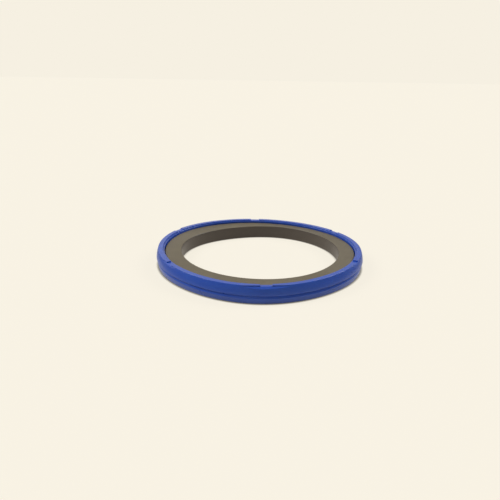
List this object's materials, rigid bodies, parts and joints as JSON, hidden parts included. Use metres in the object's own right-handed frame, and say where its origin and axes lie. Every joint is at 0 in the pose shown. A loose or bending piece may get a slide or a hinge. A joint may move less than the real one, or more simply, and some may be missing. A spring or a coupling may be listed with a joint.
{
  "type": "piston seal",
  "caption": "Hydraulic piston seal: a grooved polyurethane ring with relief notches in its end face, pressed outward by a rectangular rubber energiser ring inside it.",
  "frame": {"origin": "centre of the seal's lower face, on its axis", "axes": "+Z along the seal's axis, up to the notched end face; one relief notch points to -Y"},
  "size_m": [0.1004, 0.1004, 0.008],
  "materials": {
    "seal_ring": "satin moulded polyurethane, blue",
    "energiser_ring": "matte nitrile rubber, dark grey"
  },
  "bodies": {
    "root": {"seal_ring": "seal_ring", "energiser_ring": "energiser_ring"}
  },
  "joints": []
}
